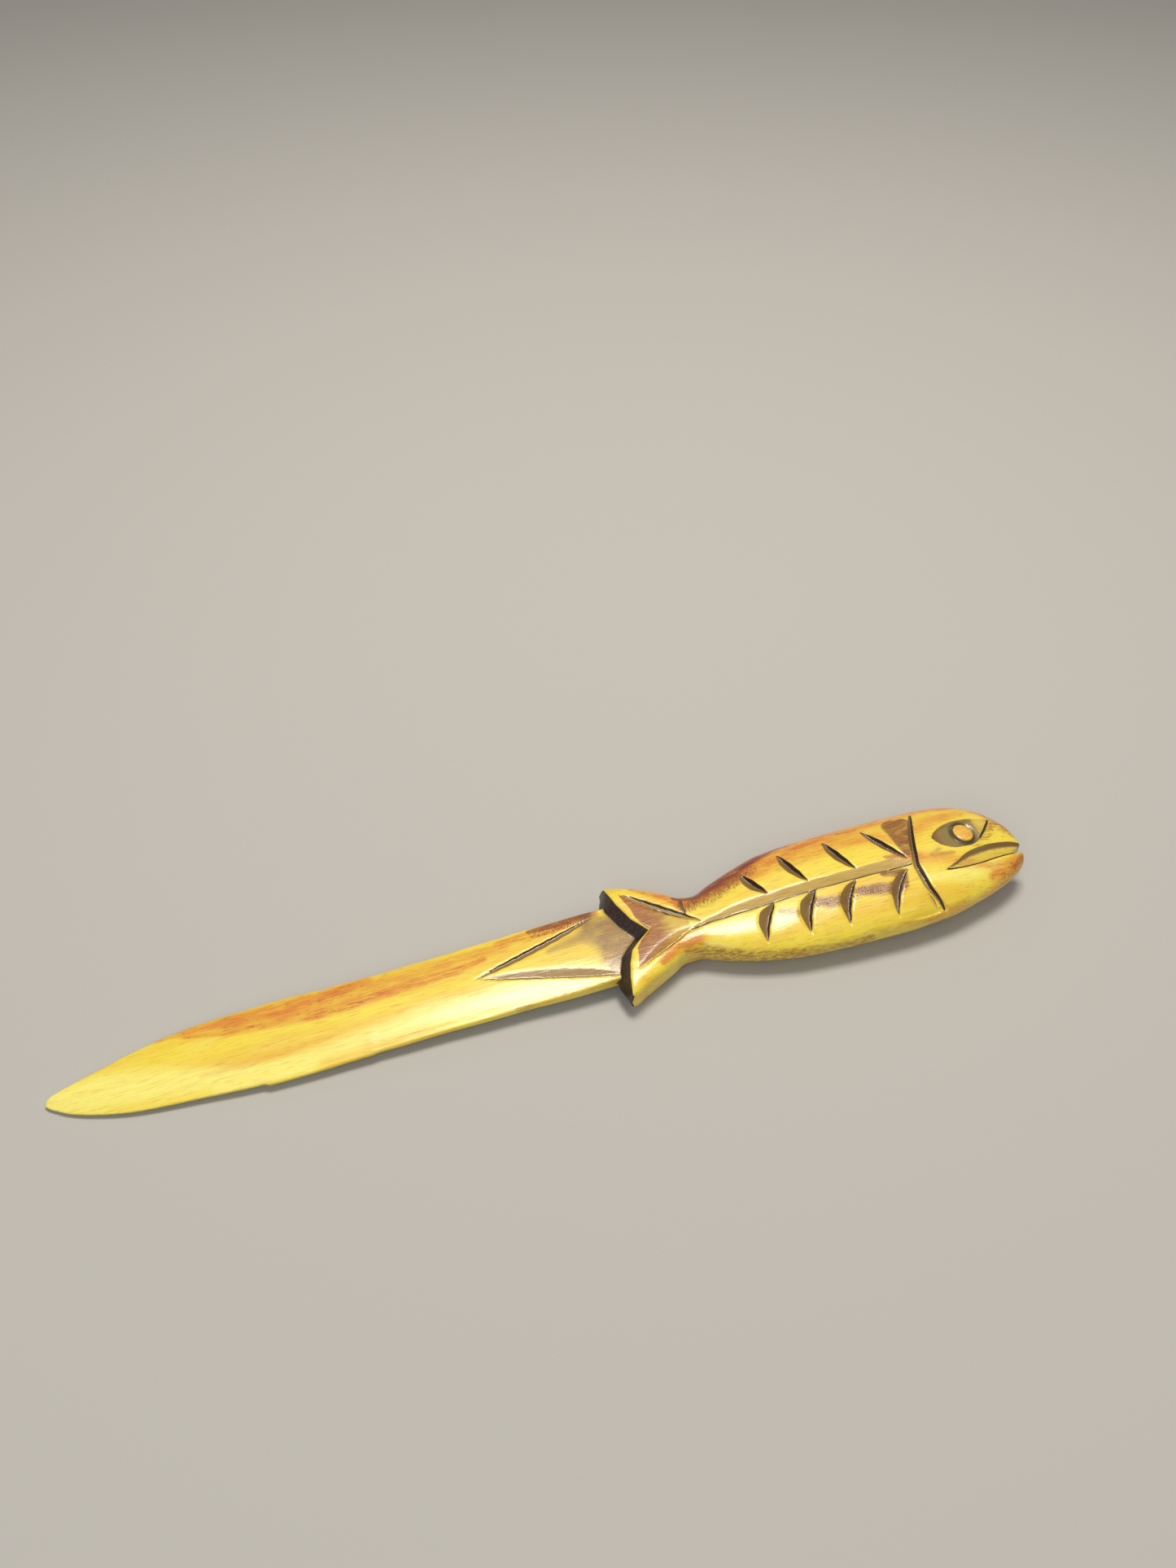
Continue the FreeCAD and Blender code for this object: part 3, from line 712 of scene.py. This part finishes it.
# each coat of colour: its sRGB tint, then the masks that are multiplied to give its share, each
# as (value, low, high, share at low, share at high)
COATS = [
    ("#EFBE32", [(noise["broad"], 0.38, 0.66, 0.0, 0.60)]),
    ("#F7E06A", [(noise["streak"], 0.48, 0.72, 0.0, 0.65)]),
    ("#FFF783", [(mark["pale"], 0.0, 1.0, 0.0, 0.90), (noise["streak"], 0.25, 0.60, 0.65, 1.0)]),
    ("#CB9026", [(noise["fine"], 0.50, 0.70, 0.0, 0.50), (mark["pale"], 0.0, 1.0, 1.0, 0.65)]),
    ("#E0852A", [(mark["amber"], 0.0, 1.0, 0.0, 1.0), (noise["streak"], 0.30, 0.56, 0.50, 1.0),
                 (noise["blotch"], 0.30, 0.60, 0.62, 1.0)]),
    ("#BC5A18", [(mark["amber"], 0.25, 1.0, 0.0, 1.0), (noise["fine"], 0.53, 0.66, 0.0, 0.75)]),
    ("#A07A44", [(mark["dulled"], 0.0, 0.8, 0.0, 1.0), (noise["blotch"], 0.25, 0.60, 0.66, 1.0)]),
    ("#82421A", [(mark["brown"], 0.0, 1.0, 0.0, 1.0), (noise["blotch"], 0.28, 0.56, 0.66, 1.0),
                 (noise["fine"], 0.30, 0.60, 0.66, 1.0)]),
    ("#A45F16", [(mark["mottled"], 0.0, 1.0, 0.0, 0.9), (noise["patch"], 0.38, 0.62, 0.15, 1.0)]),
    ("#9C4C1C", [(mark["tail_brown"], -0.10, 0.25, 0.0, 0.95), (mark["tail_fade"], 0.0, 1.0, 1.0, 0.45),
                 (noise["fine"], 0.28, 0.60, 0.72, 1.0)]),
    ("#5A2410", [(mark["tail_brown"], 0.0, 0.5, 0.0, 0.50), (mark["tail_fade"], 0.0, 1.0, 1.0, 0.3),
                 (noise["patch"], 0.46, 0.66, 0.0, 1.0)]),
    ("#7E1E02", [(mark["red"], 0.0, 1.0, 0.0, 1.0), (noise["streak"], 0.28, 0.60, 0.62, 1.0)]),
    ("#84401A", [(mark["hatched"], 0.0, 1.0, 0.0, 0.95), (noise["scratch"], 0.48, 0.60, 0.0, 1.0)]),
    ("#8C4B20", [(mark["hatched"], 0.0, 1.0, 0.0, 0.7),
                 (noise["counter_scratch"], 0.54, 0.64, 0.0, 1.0)]),
    ("#70300E", [(noise["pore"], 0.66, 0.75, 0.0, 1.0), (mark["amber"], 0.0, 0.9, 0.12, 0.85)])]


def share_of(masks):
    """The share that a colour gets: its masks, each eased between its two ends, multiplied."""
    share = 1.0
    for value, low, high, bottom, top in masks:
        step = lay(wood, "MapRange", {"Value": value, "From Min": low, "From Max": high,
                                      "To Min": bottom, "To Max": top},
                   interpolation_type="SMOOTHSTEP")
        share = lay(wood, "Math", {0: step, 1: share}, operation="MULTIPLY")
    return share


tone = linear("#F8E042")
for tint, masks in COATS:
    tone = lay(wood, "Mix", {0: share_of(masks), 6: tone, 7: linear(tint)}, out=2, data_type="RGBA")

# Inside the cuts the stain was left: olive on the wide shallow facets, brown on the short steep ones.
# The near black along each keel and stop-cut wall, in the eye and down the tail's forked end is stain
# with painted shade.
in_cut = (mark["cut_depth"], -0.01, 0.08, 0.0, 1.0)
facet = lay(wood, "Mix", {0: mark["facet_stain_and_shade"], 6: linear("#D3AE58"), 7: linear("#664022")}, out=2,
            data_type="RGBA")
# pooled stain with painted shade: near black where a facet is browner than any knife cut, in the eye's
# groove and corner
pooled_stain_and_shade = share_of([(mark["facet_stain_and_shade"], 0.95, 1.35, 0.0, 0.9)])
worn = share_of([(noise["fine"], 0.35, 0.70, 0.0, 0.45)])
facet = lay(wood, "Mix", {0: worn, 6: facet, 7: linear("#8F6C3A")}, out=2, data_type="RGBA")
in_eye = share_of([(mark["pupil"], -3.8, -3.0, 0.0, 0.75), (noise["patch"], 0.3, 0.7, 0.55, 1.0)])
facet = lay(wood, "Mix", {0: in_eye, 6: facet, 7: linear("#6C6440")}, out=2, data_type="RGBA")
facet = lay(wood, "Mix", {0: pooled_stain_and_shade, 6: facet, 7: linear("#2C180A")}, out=2, data_type="RGBA")
tone = lay(wood, "Mix", {0: share_of([in_cut, (mark["facet_stain_and_shade"], 0.0, 0.15, 0.35, 0.94)]), 6: tone,
                         7: facet}, out=2, data_type="RGBA")
# pooled stain with painted shade: near black along each keel and up each steep stop-cut wall
keel = share_of([(mark["cut_depth"], 0.0, 0.12, 0.0, 1.0), (mark["from_keel"], -0.05, 0.12, 1.0, 0.0)])
tone = lay(wood, "Mix", {0: keel, 6: tone, 7: linear("#261005")}, out=2, data_type="RGBA")
boss = share_of([(mark["pupil"], -0.15, 0.10, 0.0, 0.95)])
boss_tone = lay(wood, "Mix", {0: share_of([(noise["patch"], 0.42, 0.62, 0.0, 0.6)]),
                              6: linear("#F5C44A"), 7: linear("#D9822C")}, out=2, data_type="RGBA")
tone = lay(wood, "Mix", {0: boss, 6: tone, 7: boss_tone}, out=2, data_type="RGBA")
# stain with painted shade: the tail's forked end wall, turned away from the lamp, is made near black
end_masks = [(mark["from_end"], -0.32, -0.18, 0.0, 1.0), (mark["from_end"], 0.35, 0.55, 1.0, 0.0),
             (mark["below_face"], 0.10, 0.30, 0.0, 1.0)]
end_wall_stain_and_shade = share_of(end_masks)
stain_and_shade_colour_of_end = lay(wood, "Mix", {0: share_of([(noise["patch"], 0.45, 0.70, 0.0, 0.55)]),
                             6: linear("#1C0D05"), 7: linear("#642C10")}, out=2, data_type="RGBA")
tone = lay(wood, "Mix", {0: end_wall_stain_and_shade, 6: tone, 7: stain_and_shade_colour_of_end}, out=2, data_type="RGBA")
foot = share_of([(mark["from_end"], -1.1, -0.3, 0.0, 0.55), (mark["from_end"], -0.32, -0.18, 1.0, 0.0)])
tone = lay(wood, "Mix", {0: foot, 6: tone, 7: linear("#6E5430")}, out=2, data_type="RGBA")

relief = lay(wood, "Math", {0: noise["fine"], 1: noise["streak"]}, operation="ADD")
scratched = share_of([(mark["hatched"], 0.0, 1.0, 0.0, 0.5), (noise["scratch"], 0.50, 0.64, 0.0, 1.0)])
relief = lay(wood, "Math", {0: relief, 1: scratched}, operation="SUBTRACT")
rough_end = share_of(end_masks + [(noise["patch"], 0.2, 0.8, 0.0, 1.6)])
relief = lay(wood, "Math", {0: relief, 1: rough_end}, operation="ADD")
under_varnish = lay(wood, "Bump", {"Height": relief, "Strength": 0.40, "Distance": 0.00012})
wavy = lay(wood, "Math", {0: relief, 1: 0.4, 2: noise["coat"]}, operation="MULTIPLY_ADD")
varnish_skin = lay(wood, "Bump", {"Height": wavy, "Strength": 0.35, "Distance": 0.00015})

shine = lay(wood, "BsdfPrincipled", {
    "Base Color": tone,
    "Roughness": lay(wood, "MapRange", {"Value": noise["fine"], "From Min": 0.3, "From Max": 0.7,
                                        "To Min": 0.36, "To Max": 0.52}),
    "IOR": 1.5,
    "Coat Weight": 0.75,
    "Coat Roughness": 0.15,
    "Coat IOR": 1.5,
    "Normal": under_varnish,
    "Coat Normal": varnish_skin})
lay(wood, "OutputMaterial", {"Surface": shine})

skin.materials.append(carved_wood)
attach(letter_opener, "root")
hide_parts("letter_opener")


# ---------------------------------------------------------------------------------------------
# The table that the opener lies on: a plain pale sheet, large enough to fill the view.
# ---------------------------------------------------------------------------------------------

sheet = bpy.data.meshes.new("pale_table")
SHEET_REACH = 3.0           # metres from the middle to each side
sheet.from_pydata([(-SHEET_REACH, -SHEET_REACH, 0), (SHEET_REACH, -SHEET_REACH, 0),
                   (SHEET_REACH, SHEET_REACH, 0), (-SHEET_REACH, SHEET_REACH, 0)], [], [(0, 1, 2, 3)])
pale_table = bpy.data.objects.new("pale_table", sheet)
bpy.context.scene.collection.objects.link(pale_table)
matt_card = bpy.data.materials.new("matt_pale_card")
matt_card.use_nodes = True
card = matt_card.node_tree
card_shader = card.nodes["Principled BSDF"]
card_shader.inputs["Base Color"].default_value = linear("#BDBBB6")
card_shader.inputs["Roughness"].default_value = 0.85
sheet.materials.append(matt_card)


# ---------------------------------------------------------------------------------------------
# Studio light: a broad soft lamp high behind the opener, which shines along the varnish and
# throws the shadow towards the viewer, a weaker one from the front, and pale walls all round.
# ---------------------------------------------------------------------------------------------

def soft_lamp(name, place, aim, width, height, watts, colour):
    """A rectangular lamp at a place, turned to face its aim."""
    lamp = bpy.data.lights.new(name, "AREA")
    lamp.shape = "RECTANGLE"
    lamp.size, lamp.size_y = width, height
    lamp.energy = watts
    lamp.color = linear(colour)[:3]
    made = bpy.data.objects.new(name, lamp)
    bpy.context.scene.collection.objects.link(made)
    made.location = place
    away = np.array(place) - np.array(aim)
    flat = math.hypot(away[0], away[1])
    made.rotation_euler = (math.atan2(flat, away[2]), 0, math.atan2(away[1], away[0]) + math.pi / 2)


soft_lamp("lamp_above", (0.13, 0.24, 0.90), (0.02, 0.0, 0.0), 0.34, 0.28, 6.3, "#FFF7EC")
soft_lamp("lamp_front", (-0.5, -0.7, 0.8), (0.0, 0.0, 0.0), 0.7, 0.7, 3.0, "#F4F8FF")

walls = bpy.data.worlds.new("pale_walls")
bpy.context.scene.world = walls
walls.use_nodes = True
walls.node_tree.nodes["Background"].inputs["Color"].default_value = linear("#F3F1EC")
walls.node_tree.nodes["Background"].inputs["Strength"].default_value = 0.32


# ---------------------------------------------------------------------------------------------
# The camera: held by hand over the near side of the table, turned a little to the right of the
# opener and looking down at about 46 degrees.
# ---------------------------------------------------------------------------------------------

lens = bpy.data.cameras.new("hand_held")
lens.sensor_fit = "AUTO"
lens.sensor_width = 36.0
lens.lens = 27.07
lens.clip_start = 0.01
camera = bpy.data.objects.new("hand_held", lens)
bpy.context.scene.collection.objects.link(camera)
camera.location = (-0.0444, -0.1553, 0.2314)
camera.rotation_euler = (math.radians(44.0), 0.0, math.radians(-17.59))
bpy.context.scene.camera = camera
bpy.context.scene.view_settings.view_transform = "Standard"
